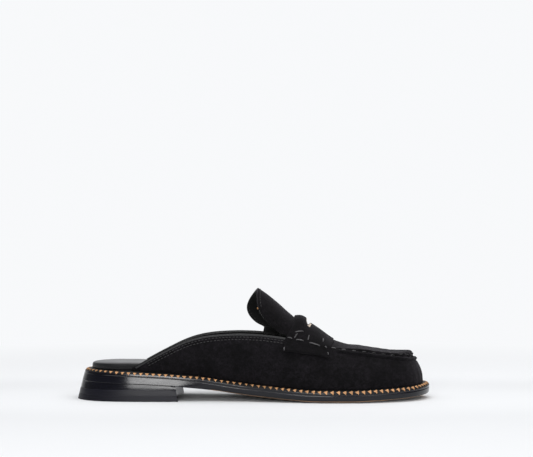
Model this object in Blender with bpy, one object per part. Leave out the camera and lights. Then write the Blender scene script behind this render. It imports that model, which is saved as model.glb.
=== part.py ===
"""A loafer mule for the right foot: welted leather sole, stacked heel, one hollow upper.

Model frame: x runs from the back of the heel at the floor to the toe, y is negative on the
outer side of the foot, z is up from the floor. A parent empty centres it all on the origin.
"""
import math
from collections import namedtuple

import bmesh
import bpy
import numpy as np
from mathutils import Vector

# Sole and heel
LENGTH = 0.268
BALL_WIDTH = 0.0925
HEEL_WIDTH = 0.062
TOE_SWING = 0.0025
HEEL_RAKE = 0.0062
HEEL_SPREAD = 0.0025
HEEL_HEIGHT = 0.0140
TOE_SPRING = 0.0030
OUTSOLE_THICK = 0.0055
WELT_THICK = 0.0032
WELT_BEVEL_RUN = 0.0026
WELT_BEVEL_DROP = 0.0019
WELT_REACH = 0.0110
SOLE_EDGE_ROUND = 0.0011
SOLE_CROWN_RUN = 0.0110
SOLE_CROWN_LIFT = 0.0008
TOP_LIFT_THICK = 0.0043
LIFT_THICK = 0.0044
BREAST_AT = 0.0787
BREAST_LEAN = 0.0025
BREAST_HOLLOW = 0.0050
FLARE_FADE = 0.030
FLARE_CURVE = 0.88

# Footbed
INSOLE_PAD = 0.0059
INSOLE_ROUND = 0.0020
INSOLE_CLEAR = 0.0010
OPEN_HEEL_END = 0.042
OPEN_HEEL_FADE = 0.018

# Upper
WALL = 0.0020
WELT_MARGIN = 0.0048
APRON_INSET = 0.0175
SIDE_RISE = 0.0375
ARCH_RISE = 0.0300
WING_START = 0.044
THROAT_AT = 0.169
LIP_HEIGHT = 0.0015
BEAD_HEIGHT = 0.0008
PILLOW_RUN = 0.0045
PILLOW_START = 0.198
PILLOW_FADE = 0.020
RIDGE_CREASE = 0.0003
RIDGE_START = 0.0012
RIDGE_FADE = 0.005

# Tongue and strap
TONGUE_THICK = 0.0022
TONGUE_FRONT = 0.178
TONGUE_SINK = 0.0027
TONGUE_DIP = 0.0040
TONGUE_SPAN = 0.95
TONGUE_TUCK_IN = 0.0030
TONGUE_TUCK_DOWN = 0.0050
TONGUE_TUCK_END = 0.158
TONGUE_TUCK_FADE = 0.008
STRAP_THICK = 0.0017
STRAP_FLAP = 0.0108
STRAP_FLAP_ARCH = 0.10
STRAP_FLAP_LEAN = 0.22
STRAP_CLEAR = 0.0005
STRAP_HUMP = 0.0018
HUMP_SPAN = 0.80
HUMP_FADE = 0.45
SLOT_WIDTH = 0.0027
SLOT_AT = 0.272
SLOT_SPAN = 0.45
SLOT_LIP = 0.25
SLOT_SHUT = 0.04
SLOT_FADE = 0.40

GAP = 0.0003
MERGE = 0.000001

OUTER = -1
INNER = 1

# Half breadths of the welt along its length: a share of the heel's width plus a share of the ball's.
Breadth = namedtuple("Breadth", "along heel_outer ball_outer heel_inner ball_inner")
OUTLINE = [
    Breadth(0.035, 0.347, 0.000, 0.347, 0.000),
    Breadth(0.110, 0.484, 0.000, 0.484, 0.000),
    Breadth(0.210, 0.508, 0.000, 0.500, 0.000),
    Breadth(0.310, 0.400, 0.067, 0.400, 0.040),
    Breadth(0.420, 0.200, 0.212, 0.200, 0.152),
    Breadth(0.530, 0.000, 0.405, 0.000, 0.346),
    Breadth(0.640, 0.000, 0.470, 0.000, 0.454),
    Breadth(0.730, 0.000, 0.492, 0.000, 0.508),
    Breadth(0.820, 0.000, 0.470, 0.000, 0.503),
    Breadth(0.905, 0.000, 0.378, 0.000, 0.427),
    Breadth(0.965, 0.000, 0.243, 0.000, 0.292),
]
TOE = len(OUTLINE) + 1
TURN = 2 * TOE

# Height of the sole's underside: a share of the heel height plus a share of the toe spring.
Underside = namedtuple("Underside", "along heel toe")
UNDERSIDE = [
    Underside(0.000, 1.010, 0.00),
    Underside(0.130, 0.945, 0.00),
    Underside(0.205, 0.885, 0.00),
    Underside(0.265, 0.820, 0.00),
    Underside(0.298, 0.765, 0.00),
    Underside(0.350, 0.640, 0.00),
    Underside(0.437, 0.385, 0.00),
    Underside(0.527, 0.185, 0.00),
    Underside(0.619, 0.045, 0.00),
    Underside(0.664, 0.000, 0.00),
    Underside(0.769, 0.000, 0.00),
    Underside(0.821, 0.000, 0.15),
    Underside(0.880, 0.000, 0.33),
    Underside(0.940, 0.000, 0.58),
    Underside(1.000, 0.000, 1.00),
]

# How far the footbed stands above the welt, as a share of its greatest padding.
Padding = namedtuple("Padding", "along share")
PADDING = [
    Padding(0.00, 0.74),
    Padding(0.13, 0.92),
    Padding(0.20, 1.00),
    Padding(0.30, 0.95),
    Padding(0.42, 0.76),
    Padding(0.56, 0.52),
    Padding(0.75, 0.42),
    Padding(1.00, 0.42),
]

# The upper's top edge: topline as far as the throat, then the apron seam. Rise above the welt.
Edge = namedtuple("Edge", "along rise")
EDGE = [
    Edge(0.164, 0.050),
    Edge(0.209, 0.253),
    Edge(0.240, 0.379),
    Edge(0.269, 0.499),
    Edge(0.302, 0.632),
    Edge(0.351, 0.784),
    Edge(0.407, 0.896),
    Edge(0.463, 0.965),
    Edge(0.520, 0.994),
    Edge(0.575, 0.984),
    Edge(0.604, 0.950),
    Edge(0.639, 0.912),
    Edge(0.685, 0.838),
    Edge(0.724, 0.782),
    Edge(0.779, 0.730),
    Edge(0.843, 0.656),
    Edge(0.910, 0.576),
    Edge(0.955, 0.523),
]

# Rise of the crown above the two edges that it springs from, as a share of the greatest rise.
Arch = namedtuple("Arch", "along share")
ARCH = [
    Arch(0.440, 1.580),
    Arch(0.478, 1.320),
    Arch(0.513, 1.135),
    Arch(0.540, 0.992),
    Arch(0.577, 0.755),
    Arch(0.600, 0.612),
    Arch(0.631, 0.497),
    Arch(0.668, 0.387),
    Arch(0.694, 0.283),
    Arch(0.709, 0.217),
    Arch(0.728, 0.175),
    Arch(0.775, 0.099),
    Arch(0.849, 0.067),
    Arch(0.890, 0.067),
    Arch(0.914, 0.094),
    Arch(0.942, 0.155),
    Arch(0.955, 0.215),
]

# Per outline station: how far in from the welt's edge the top edge lies, and the wall's bulge.
Lean = namedtuple("Lean", "station outer inner bulge")
LEAN = [
    Lean(2, 0.270, 0.270, 0.05),
    Lean(3, 0.245, 0.240, 0.08),
    Lean(4, 0.206, 0.149, 0.09),
    Lean(5, 0.257, 0.149, 0.10),
    Lean(6, 0.630, 0.430, 0.10),
    Lean(7, 0.970, 0.914, 0.10),
    Lean(8, 1.000, 1.086, 0.11),
    Lean(9, 0.886, 1.000, 0.11),
    Lean(10, 0.743, 0.829, 0.11),
    Lean(11, 0.686, 0.714, 0.11),
    Lean(12, 0.686, 0.686, 0.11),
]

# The tongue's free end: across from the outer to the inner edge, and where each strip ends.
TongueEnd = namedtuple("TongueEnd", "across along")
TONGUE_END = [
    TongueEnd(-1.00, 0.5770),
    TongueEnd(-0.93, 0.5580),
    TongueEnd(-0.86, 0.5410),
    TongueEnd(-0.79, 0.5270),
    TongueEnd(-0.70, 0.5170),
    TongueEnd(-0.60, 0.5120),
    TongueEnd(-0.45, 0.5105),
    TongueEnd(-0.22, 0.5120),
    TongueEnd(0.00, 0.5125),
    TongueEnd(0.15, 0.5105),
    TongueEnd(0.29, 0.5050),
    TongueEnd(0.42, 0.4980),
    TongueEnd(0.55, 0.4885),
    TongueEnd(0.66, 0.4815),
    TongueEnd(0.74, 0.4790),
    TongueEnd(0.82, 0.4840),
    TongueEnd(0.89, 0.4960),
    TongueEnd(0.94, 0.5110),
    TongueEnd(0.98, 0.5300),
    TongueEnd(1.00, 0.5250),
]

# The strap's two long edges, from the crown over the seam to the end of each flap.
StrapEdge = namedtuple("StrapEdge", "place rear front")
STRAP_EDGES = [
    StrapEdge(0.0, 0.6155, 0.7262),
    StrapEdge(0.5, 0.6120, 0.7240),
    StrapEdge(0.8, 0.6035, 0.7200),
    StrapEdge(1.0, 0.5905, 0.7160),
    StrapEdge(2.0, 0.5850, 0.7120),
]

# Across the strap from its rear to its front edge: where each row lies, how thick the leather is
# left, and how far the puffed rear band lifts it. The slot opens between the two rows named lip.
StrapRow = namedtuple("StrapRow", "along skive puff")
STRAP_ROWS = [
    StrapRow(0.000, 0.30, 0.00),
    StrapRow(0.030, 0.60, 0.30),
    StrapRow(0.080, 0.90, 0.80),
    StrapRow(0.140, 1.00, 1.00),
    StrapRow(0.200, 1.00, 0.95),
    StrapRow(SLOT_AT, 0.95, 0.45),
    StrapRow(SLOT_AT, 0.95, 0.00),
    StrapRow(0.460, 0.92, 0.00),
    StrapRow(0.590, 0.88, 0.00),
    StrapRow(0.720, 0.80, 0.00),
    StrapRow(0.840, 0.64, 0.00),
    StrapRow(0.940, 0.44, 0.00),
    StrapRow(1.000, 0.27, 0.00),
]
REAR_LIP = 5
FRONT_LIP = 6

Finish = namedtuple("Finish", "colour roughness metallic")
FINISHES = {
    "black_suede": Finish((0.012, 0.011, 0.012), 0.95, 0.0),
    "black_leather": Finish((0.010, 0.010, 0.011), 0.35, 0.0),
    "sole_leather": Finish((0.012, 0.012, 0.014), 0.28, 0.0),
    "heel_leather": Finish((0.014, 0.013, 0.013), 0.25, 0.0),
    "rubber": Finish((0.030, 0.030, 0.032), 0.60, 0.0),
}


def fair_curve(places, values):
    """A curve through the rows that never overshoots them, flat where the rows are flat."""
    places = np.asarray(places, dtype=float)
    values = np.asarray(values, dtype=float)
    steps = np.diff(places)
    slopes = np.diff(values) / steps
    tangents = np.zeros(len(places))
    tangents[0] = slopes[0]
    tangents[-1] = slopes[-1]
    for i in range(1, len(places) - 1):
        before, after = slopes[i - 1], slopes[i]
        if before * after > 0:
            first = 2 * steps[i] + steps[i - 1]
            second = steps[i] + 2 * steps[i - 1]
            tangents[i] = (first + second) / (first / before + second / after)

    def at(place):
        place = min(max(place, places[0]), places[-1])
        i = min(int(np.searchsorted(places, place, side="right")) - 1, len(steps) - 1)
        f = (place - places[i]) / steps[i]
        rise = values[i] * (1 + 2 * f) * (1 - f) ** 2 + values[i + 1] * f * f * (3 - 2 * f)
        turn = tangents[i] * f * (1 - f) ** 2 - tangents[i + 1] * f * f * (1 - f)
        return float(rise + turn * steps[i])

    return at


def closed_spline(points):
    """A closed smooth curve through evenly numbered points."""
    count = len(points)
    whole = np.eye(count)
    pull = (4 * whole + np.roll(whole, 1, axis=0) + np.roll(whole, -1, axis=0)) / 6
    control = np.linalg.solve(pull, np.asarray(points, dtype=float))

    def at(t):
        i = math.floor(t)
        f = t - i
        weights = (
            (1 - f) ** 3 / 6,
            (3 * f ** 3 - 6 * f * f + 4) / 6,
            (-3 * f ** 3 + 3 * f * f + 3 * f + 1) / 6,
            f ** 3 / 6,
        )
        return sum(w * control[(i + k - 1) % count] for k, w in enumerate(weights))

    return at


def ease(share):
    """Smooth step from 0 to 1."""
    share = min(max(share, 0.0), 1.0)
    return share * share * (3 - 2 * share)


def welt_points():
    """The outline's own points, from the back of the heel round the outer side and the toe."""
    span = LENGTH - HEEL_RAKE
    outer = []
    inner = []
    for row in OUTLINE:
        x = HEEL_RAKE + row.along * span
        outer.append((x, -(row.heel_outer * HEEL_WIDTH + row.ball_outer * BALL_WIDTH)))
        inner.append((x, row.heel_inner * HEEL_WIDTH + row.ball_inner * BALL_WIDTH))
    return [(HEEL_RAKE, 0.0)] + outer + [(LENGTH, TOE_SWING)] + inner[::-1]


OUTLINE_CURVE = closed_spline(welt_points())
UNDERSIDE_CURVE = fair_curve(
    [row.along for row in UNDERSIDE],
    [row.heel * HEEL_HEIGHT + row.toe * TOE_SPRING for row in UNDERSIDE],
)
PADDING_CURVE = fair_curve([row.along for row in PADDING], [row.share for row in PADDING])
EDGE_CURVE = fair_curve([row.along for row in EDGE], [row.rise for row in EDGE])
ARCH_CURVE = fair_curve([row.along for row in ARCH], [row.share for row in ARCH])
LEAN_CURVES = {
    OUTER: fair_curve([row.station for row in LEAN], [row.outer for row in LEAN]),
    INNER: fair_curve([row.station for row in LEAN], [row.inner for row in LEAN]),
}
BULGE_CURVE = fair_curve([row.station for row in LEAN], [row.bulge for row in LEAN])
STRAP_REAR = fair_curve([row.place for row in STRAP_EDGES], [row.rear for row in STRAP_EDGES])
STRAP_FRONT = fair_curve([row.place for row in STRAP_EDGES], [row.front for row in STRAP_EDGES])


def outline(t):
    """Point on the welt's edge and the level direction that points out of it."""
    nudge = 0.01
    run = OUTLINE_CURVE(t + nudge) - OUTLINE_CURVE(t - nudge)
    run /= np.linalg.norm(run)
    return OUTLINE_CURVE(t), np.array((run[1], -run[0]))


def turn_at(side, station):
    """Stations run from heel to toe on both sides; the outline runs once round."""
    return station if side == OUTER else TURN - station


def underside(x):
    return UNDERSIDE_CURVE(x / LENGTH)


def sole_top(x):
    return underside(x) + OUTSOLE_THICK


def welt_top(x):
    return sole_top(x) + GAP + WELT_THICK


def insole_top(x):
    return welt_top(x) + INSOLE_PAD * PADDING_CURVE(x / LENGTH)


def heel_growth(x, z):
    """Flare of the heel: 0 at the welt, 1 at the floor, gone a little past the breast."""
    fade = 1 - ease((x - BREAST_AT) / FLARE_FADE)
    drop = min(max(1 - z / welt_top(x), 0.0), 1.0)
    return fade * drop ** FLARE_CURVE


def edge_point(t, inset, height_at):
    """A point a level distance in from the sole's edge, with the heel's flare at that height."""
    point, outward = outline(t)
    growth = heel_growth(point[0], height_at(point[0]))
    x = point[0] - outward[0] * inset + min(outward[0], 0.0) * HEEL_RAKE * growth
    y = point[1] - outward[1] * inset + outward[1] * HEEL_SPREAD * growth
    return Vector((x, y, height_at(x)))


def crossing(function, target, low, high):
    """Where a rising function meets the target."""
    for _ in range(40):
        middle = (low + high) / 2
        if function(middle) < target:
            low = middle
        else:
            high = middle
    return (low + high) / 2


# Upper: feather line, top edge and crown

def feather_point(side, station):
    """Where the upper's outer face stands on the welt."""
    return edge_point(turn_at(side, station), WELT_MARGIN, lambda x: welt_top(x) + GAP)


def top_edge_point(side, station):
    """The topline behind the throat, the apron seam in front of it."""
    inset = APRON_INSET * LEAN_CURVES[side](station)
    point = edge_point(turn_at(side, station), inset, welt_top)
    point.z += GAP + SIDE_RISE * EDGE_CURVE(point.x / LENGTH)
    return point


def wall_point(side, station, share):
    """The upper's side: 0 at the feather line, 1 at the top edge, bowed outward between."""
    foot = feather_point(side, station)
    head = top_edge_point(side, station)
    chord = head - foot
    outward = outline(turn_at(side, station))[1]
    across = Vector((outward[0], outward[1], 0.0))
    bow = (across - chord * (across.dot(chord) / chord.length_squared)).normalized()
    return foot + chord * share + bow * (chord.length * BULGE_CURVE(station) * 4 * share * (1 - share))


def crown_point(station, across):
    """The surface that springs from the two top edges: -1 outer edge, 0 crown, 1 inner edge."""
    outer = top_edge_point(OUTER, station)
    inner = top_edge_point(INNER, station)
    middle = (outer + inner) / 2
    reach = (inner - outer) / 2
    half = max(reach.length, MERGE)
    rise = ARCH_RISE * ARCH_CURVE(middle.x / LENGTH)
    angle = min(2 * math.atan(rise / half), math.pi / 2)
    lift = rise * (math.cos(across * angle) - math.cos(angle)) / (1 - math.cos(angle))
    return middle + reach * (math.sin(across * angle) / math.sin(angle)) + Vector((0, 0, lift))


def station_at(x):
    """The station whose top edges lie at x."""
    return crossing(lambda s: (top_edge_point(OUTER, s).x + top_edge_point(INNER, s).x) / 2, x, 2, TOE)


# Builders

def make_object(name, vertices, faces, finish):
    """One closed mesh object with its own material."""
    mesh = bpy.data.meshes.new(name)
    mesh.from_pydata([tuple(v) for v in vertices], [], faces)
    work = bmesh.new()
    work.from_mesh(mesh)
    bmesh.ops.remove_doubles(work, verts=work.verts, dist=MERGE)
    work.to_mesh(mesh)
    work.free()
    mesh.shade_smooth()
    mesh.set_sharp_from_angle(angle=math.radians(40))
    row = FINISHES[finish]
    material = bpy.data.materials.new(name + "_" + finish)
    material.use_nodes = True
    shader = material.node_tree.nodes["Principled BSDF"]
    shader.inputs["Base Color"].default_value = (*row.colour, 1.0)
    shader.inputs["Roughness"].default_value = row.roughness
    shader.inputs["Metallic"].default_value = row.metallic
    mesh.materials.append(material)
    body = bpy.data.objects.new(name, mesh)
    bpy.context.scene.collection.objects.link(body)
    body.parent = bpy.data.objects["last_axis"]
    return body


def capped_stack(name, loops, straight, finish):
    """A closed body through loops, bottom first. A loop starts at the heel and goes round the
    outer side; columns up to `straight` are tied across to their partners on the inner side."""
    count = len(loops[0])
    vertices = [point for loop in loops for point in loop]
    faces = []
    for level in range(len(loops) - 1):
        for i in range(count):
            low = level * count
            faces.append((low + i, low + (i + 1) % count, low + count + (i + 1) % count, low + count + i))
    cap = [(0, 1, count - 1)]
    cap += [(k, k + 1, count - k - 1, count - k) for k in range(1, straight)]
    cap.append(tuple(range(straight, count - straight + 1)))
    top = (len(loops) - 1) * count
    faces += [tuple(top + i for i in face) for face in cap]
    faces += [face[::-1] for face in cap]
    return make_object(name, vertices, faces, finish)


def ring_body(name, sections, finish):
    """A closed ring through sections, each a closed loop in the same order."""
    count = len(sections)
    size = len(sections[0])
    vertices = [point for section in sections for point in section]
    faces = []
    for i in range(count):
        here = i * size
        there = (i + 1) % count * size
        for k in range(size):
            faces.append((here + k, there + k, there + (k + 1) % size, here + (k + 1) % size))
    return make_object(name, vertices, faces, finish)


def sheet_body(name, points, faces, raised, sunk, finish, level_rim=()):
    """Leather cut from a surface: each point is moved out by `raised` and in by `sunk` along the
    surface's own direction, and the two skins are joined round every free edge."""
    skin = bmesh.new()
    corners = [skin.verts.new(point) for point in points]
    for face in faces:
        skin.faces.new([corners[i] for i in face])
    skin.verts.index_update()
    skin.normal_update()
    upward = [corner.normal.copy() for corner in corners]
    rims = []
    for edge in skin.edges:
        if edge.is_boundary:
            loop = edge.link_loops[0]
            rims.append((loop.vert.index, loop.link_loop_next.vert.index))
    skin.free()
    outer = [p + n * r for p, n, r in zip(points, upward, raised)]
    inner = [p - n * s for p, n, s in zip(points, upward, sunk)]
    for i in level_rim:
        outward = Vector((upward[i].x, upward[i].y, 0.0)).normalized()
        inner[i] = points[i] - outward * sunk[i]
    count = len(points)
    solid = list(faces)
    solid += [tuple(i + count for i in face[::-1]) for face in faces]
    solid += [(b, a, a + count, b + count) for a, b in rims]
    return make_object(name, outer + inner, solid, finish)


# Sole

COLUMNS_PER_SPAN = 4
RING = [i / COLUMNS_PER_SPAN for i in range(TURN * COLUMNS_PER_SPAN)]
STRAIGHT = TOE * COLUMNS_PER_SPAN - 1


def level(inset, height_at):
    """A loop round the whole sole at a height that follows its length."""
    return [edge_point(t, inset(outline(t)[0][0]), height_at) for t in RING]


def past_heel(x):
    """0 over the heel seat, 1 in front of the breast."""
    return ease((x - BREAST_AT) / FLARE_FADE)


def build_outsole():
    def edge_base(x):
        return underside(x) + SOLE_CROWN_LIFT * past_heel(x)

    loops = [
        level(lambda x: SOLE_CROWN_RUN, underside),
        level(lambda x: SOLE_EDGE_ROUND * past_heel(x), edge_base),
        level(lambda x: 0.3 * SOLE_EDGE_ROUND * past_heel(x), lambda x: edge_base(x) + SOLE_EDGE_ROUND * 0.7),
        level(lambda x: 0.0, lambda x: edge_base(x) + SOLE_EDGE_ROUND * 1.8),
        level(lambda x: 0.0, sole_top),
    ]
    return capped_stack("outsole", loops, STRAIGHT, "sole_leather")


def build_welt():
    profile = [
        (0.0, -WELT_THICK),
        (0.0, -WELT_BEVEL_DROP),
        (0.35 * WELT_BEVEL_RUN, -0.5 * WELT_BEVEL_DROP),
        (WELT_BEVEL_RUN, 0.0),
        (WELT_REACH, 0.0),
        (WELT_REACH, -WELT_THICK),
    ]
    sections = []
    for t in RING:
        sections.append([edge_point(t, inset, lambda x: welt_top(x) + drop) for inset, drop in profile])
    return ring_body("welt", sections, "sole_leather")


def breast_at(z):
    """The heel's front face leans forward towards the floor."""
    return BREAST_AT - BREAST_LEAN * min(z / HEEL_HEIGHT, 1.0)


HEEL_COLUMNS = 12
BREAST_COLUMNS = 6


def heel_loop(height_at):
    """A loop round the heel, closed across the hollowed breast."""
    ends = {}
    for side in (OUTER, INNER):
        breast = breast_at(height_at(BREAST_AT))
        ends[side] = crossing(lambda s: edge_point(turn_at(side, s), 0.0, height_at).x, breast, 1, TOE / 2)
    runs = {}
    for side in (OUTER, INNER):
        runs[side] = []
        for k in range(HEEL_COLUMNS + 1):
            t = turn_at(side, ends[side] * k / HEEL_COLUMNS)
            runs[side].append(edge_point(t, 0.0, height_at))
    outer, inner = runs[OUTER][-1], runs[INNER][-1]
    breast = []
    for k in range(1, BREAST_COLUMNS):
        share = k / BREAST_COLUMNS
        point = outer.lerp(inner, share)
        point.x -= BREAST_HOLLOW * 4 * share * (1 - share)
        point.z = height_at(point.x)
        breast.append(point)
    return runs[OUTER] + breast + runs[INNER][:0:-1]


def build_heel():
    """Lifts from the floor up: rubber, then leather, the last one cut to the sole's underside."""
    count = max(1, round((HEEL_HEIGHT - TOP_LIFT_THICK) / LIFT_THICK))
    pieces = []
    low = 0.0
    names = ["top_lift"] + ["heel_lift_" + str(count - i) for i in range(count)]
    for i, name in enumerate(names):
        last = i == count
        high = low + (TOP_LIFT_THICK if i == 0 else LIFT_THICK)
        floor = low
        base = heel_loop(lambda x: floor)
        if last:
            roof = heel_loop(lambda x: underside(x) - GAP)
        else:
            roof = heel_loop(lambda x: high - GAP)
        finish = "rubber" if i == 0 else "heel_leather"
        pieces.append(capped_stack(name, [base, roof], HEEL_COLUMNS - 1, finish))
        low = high
    return pieces


def build_insole():
    covered = WALL + INSOLE_CLEAR

    def inset(x):
        return WELT_MARGIN + covered * ease((x - OPEN_HEEL_END) / OPEN_HEEL_FADE + 1)

    loops = [
        level(inset, lambda x: welt_top(x) + GAP),
        level(inset, lambda x: max(insole_top(x) - INSOLE_ROUND, welt_top(x) + 2 * GAP)),
        level(lambda x: inset(x) + 0.3 * INSOLE_ROUND, lambda x: insole_top(x) - 0.3 * INSOLE_ROUND),
        level(lambda x: inset(x) + INSOLE_ROUND, insole_top),
    ]
    return capped_stack("insole", loops, STRAIGHT, "black_leather")


# Upper

WING_COLUMNS = 17
APRON_COLUMNS = 24
WALL_SHARES = (0.0, 0.10, 0.25, 0.42, 0.60, 0.76)
RIDGE_ROWS = (0.0042, 0.0033, 0.0026, 0.0012, 0.0)
RIDGE_LIFT = (0.0, -RIDGE_CREASE, LIP_HEIGHT, LIP_HEIGHT, -RIDGE_CREASE)
APRON_ROWS = (0.0010, 0.0030, 0.0070)
APRON_LIFT = (BEAD_HEIGHT, 0.5 * BEAD_HEIGHT, 0.0)
APRON_STRIPS = 6
RIDGE_SQUEEZE = 0.20
WING_SEARCH = (1.5, 6.0)


def plug_height(x, inset):
    """In front the apron is a pillow: it rises steeply from its seam and is flat on top."""
    fall = max(0.0, 1 - inset / PILLOW_RUN)
    seam = welt_top(x) + GAP + SIDE_RISE * EDGE_CURVE(x / LENGTH)
    return seam + ARCH_RISE * ARCH_CURVE(x / LENGTH) * (1 - fall**3)


def pillow_share(x):
    return ease((x - PILLOW_START) / PILLOW_FADE)


def apron_ring_point(side, station, inset):
    """A point of the apron `inset` inside its seam."""
    edge = top_edge_point(side, station)
    half = (top_edge_point(INNER, station) - top_edge_point(OUTER, station)).length / 2
    across = 1 - min(inset / max(half, MERGE), 0.5)
    arched = crown_point(station, -across if side == OUTER else across)
    outward = outline(turn_at(side, station))[1]
    flat = Vector((edge.x - outward[0] * inset, edge.y - outward[1] * inset, 0.0))
    flat.z = plug_height(flat.x, inset)
    return arched.lerp(flat, pillow_share(edge.x))


def apron_middle_point(station, near, far, share, seam):
    """A point between two opposite ring points."""
    half = (top_edge_point(INNER, station) - top_edge_point(OUTER, station)).length / 2
    span = 1 - min(APRON_ROWS[-1] / half, 0.5)
    arched = crown_point(station, span * (2 * share - 1))
    flat = near.lerp(far, share)
    inset = min((flat.xy - point.xy).length for point in seam)
    flat.z = plug_height(flat.x, inset)
    return arched.lerp(flat, pillow_share(flat.x))


def ridge_share(x):
    """The seam stands proud in front of the strap only."""
    start = LENGTH * STRAP_FRONT(1.0) + RIDGE_START
    return ease((x - start) / RIDGE_FADE)


def build_upper():
    wing = crossing(lambda s: feather_point(OUTER, s).x, WING_START, *WING_SEARCH)
    throat = station_at(THROAT_AT)
    stations = [wing + (throat - wing) * k / WING_COLUMNS for k in range(WING_COLUMNS)]
    stations += [throat + (TOE - throat) * k / APRON_COLUMNS for k in range(APRON_COLUMNS + 1)]
    columns = [(OUTER, s) for s in stations] + [(INNER, s) for s in stations[-2::-1]]
    points = []
    raised = []
    foot = []
    for side, station in columns:
        chord = (top_edge_point(side, station) - feather_point(side, station)).length
        shares = list(WALL_SHARES)
        squeeze = min(1.0, RIDGE_SQUEEZE * chord / RIDGE_ROWS[0])
        shares += [1 - row * squeeze / chord for row in RIDGE_ROWS]
        lifts = [0.0] * len(WALL_SHARES) + list(RIDGE_LIFT)
        proud = ridge_share(top_edge_point(side, station).x)
        foot.append(len(points))
        for share, lift in zip(shares, lifts):
            points.append(wall_point(side, station, share))
            raised.append(lift * proud)
    rows = len(WALL_SHARES) + len(RIDGE_ROWS)
    faces = []
    for c in range(len(columns) - 1):
        for r in range(rows - 1):
            here = c * rows + r
            faces.append((here, here + rows, here + rows + 1, here + 1))
    seam = range(WING_COLUMNS, len(columns) - WING_COLUMNS)
    rings = [[c * rows + rows - 1 for c in seam]]
    seam_points = [points[i] for i in rings[0]]
    for inset, lift in zip(APRON_ROWS, APRON_LIFT):
        ring = []
        for c in seam:
            ring.append(len(points))
            points.append(apron_ring_point(*columns[c], inset))
            raised.append(lift * ridge_share(points[-1].x))
        for m in range(len(ring) - 1):
            faces.append((rings[-1][m], rings[-1][m + 1], ring[m + 1], ring[m]))
        rings.append(ring)
    ring = rings[-1]
    lines = []
    for k in range(APRON_COLUMNS):
        near, far = points[ring[k]], points[ring[-1 - k]]
        line = [ring[k]]
        for m in range(1, APRON_STRIPS):
            line.append(len(points))
            station = stations[WING_COLUMNS + k]
            points.append(apron_middle_point(station, near, far, m / APRON_STRIPS, seam_points))
            raised.append(0.0)
        line.append(ring[-1 - k])
        lines.append(line)
    for near, far in zip(lines, lines[1:]):
        for m in range(APRON_STRIPS):
            faces.append((near[m], far[m], far[m + 1], near[m + 1]))
    for m in range(APRON_STRIPS):
        faces.append((lines[-1][m], ring[APRON_COLUMNS], lines[-1][m + 1]))
    sunk = [WALL] * len(points)
    return sheet_body("upper", points, faces, raised, sunk, "black_suede", foot)


# Tongue and strap

TONGUE_ROWS = 12


def tongue_tuck(x):
    """Behind the strap the tongue's inner edge is tucked down inside the upper's wall."""
    share = ease((TONGUE_TUCK_END - x) / TONGUE_TUCK_FADE)
    return Vector((0.0, -TONGUE_TUCK_IN * share, -TONGUE_TUCK_DOWN * share))


def build_tongue():
    front = station_at(TONGUE_FRONT)
    points = []
    raised = []
    for row in TONGUE_END:
        rear = station_at(LENGTH * row.along)
        for k in range(TONGUE_ROWS + 1):
            station = front + (rear - front) * k / TONGUE_ROWS
            point = crown_point(station, row.across * TONGUE_SPAN)
            if row is TONGUE_END[-1]:
                point += tongue_tuck(point.x)
            points.append(point)
            buried = ease((points[-1].x - THROAT_AT + TONGUE_DIP + 2 * GAP) / TONGUE_DIP)
            raised.append(-TONGUE_SINK * buried)
    size = TONGUE_ROWS + 1
    faces = []
    for i in range(len(TONGUE_END) - 1):
        for k in range(TONGUE_ROWS):
            here = i * size + k
            faces.append((here, here + size, here + size + 1, here + 1))
    sunk = [TONGUE_THICK - r for r in raised]
    return sheet_body("tongue", points, faces, raised, sunk, "black_suede")


STRAP_CROSS = (0.0, 0.15, 0.30, 0.45, 0.60, 0.75, 0.88, 1.0)
FLAP_SHARES = (0.15, 0.55, 1.0)


def strap_point(place, along):
    """Place 0 is the crown, 1 the seam, 2 the flap's end; the sign gives the side."""
    side = OUTER if place < 0 else INNER
    far = abs(place)
    rear = station_at(LENGTH * STRAP_REAR(far))
    front = station_at(LENGTH * STRAP_FRONT(far))
    station = rear + (front - rear) * along
    if far <= 1:
        return crown_point(station, place)
    chord = (top_edge_point(side, station) - feather_point(side, station)).length
    arch = STRAP_FLAP_ARCH * math.sin(math.pi * along)
    drop = STRAP_FLAP * (1 - arch + STRAP_FLAP_LEAN * (0.5 - along))
    return wall_point(side, station, 1 - (far - 1) * drop / chord)


def slot_pinch(place):
    """The slot is a lens: its two lips close towards its ends."""
    far = abs(place)
    width = LENGTH * (STRAP_FRONT(0) - STRAP_REAR(0))
    half = SLOT_WIDTH / width / 2
    lip = half * SLOT_LIP
    if far <= SLOT_SPAN:
        return lip + (half - lip) * math.sqrt(1 - (far / SLOT_SPAN) ** 2)
    return lip + (SLOT_SHUT - lip) * ease((far - SLOT_SPAN) / SLOT_FADE)


def build_strap():
    places = [-1 - f for f in FLAP_SHARES[::-1]] + [-p for p in STRAP_CROSS[:0:-1]]
    places += list(STRAP_CROSS) + [1 + f for f in FLAP_SHARES]
    points = []
    raised = []
    sunk = []
    for place in places:
        spread = ease((HUMP_SPAN - abs(place)) / HUMP_FADE)
        for k, row in enumerate(STRAP_ROWS):
            along = row.along
            if k == REAR_LIP:
                along -= slot_pinch(place)
            if k == FRONT_LIP:
                along += slot_pinch(place)
            points.append(strap_point(place, along))
            thick = STRAP_THICK * row.skive
            raised.append(STRAP_CLEAR + thick + STRAP_HUMP * row.puff * spread)
            sunk.append(thick - raised[-1])
    size = len(STRAP_ROWS)
    faces = []
    for i in range(len(places) - 1):
        open_here = max(abs(places[i]), abs(places[i + 1])) <= SLOT_SPAN
        for k in range(size - 1):
            if open_here and k == REAR_LIP:
                continue
            here = i * size + k
            faces.append((here, here + size, here + size + 1, here + 1)[::-1])
    return sheet_body("strap", points, faces, raised, sunk, "black_suede")


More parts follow.
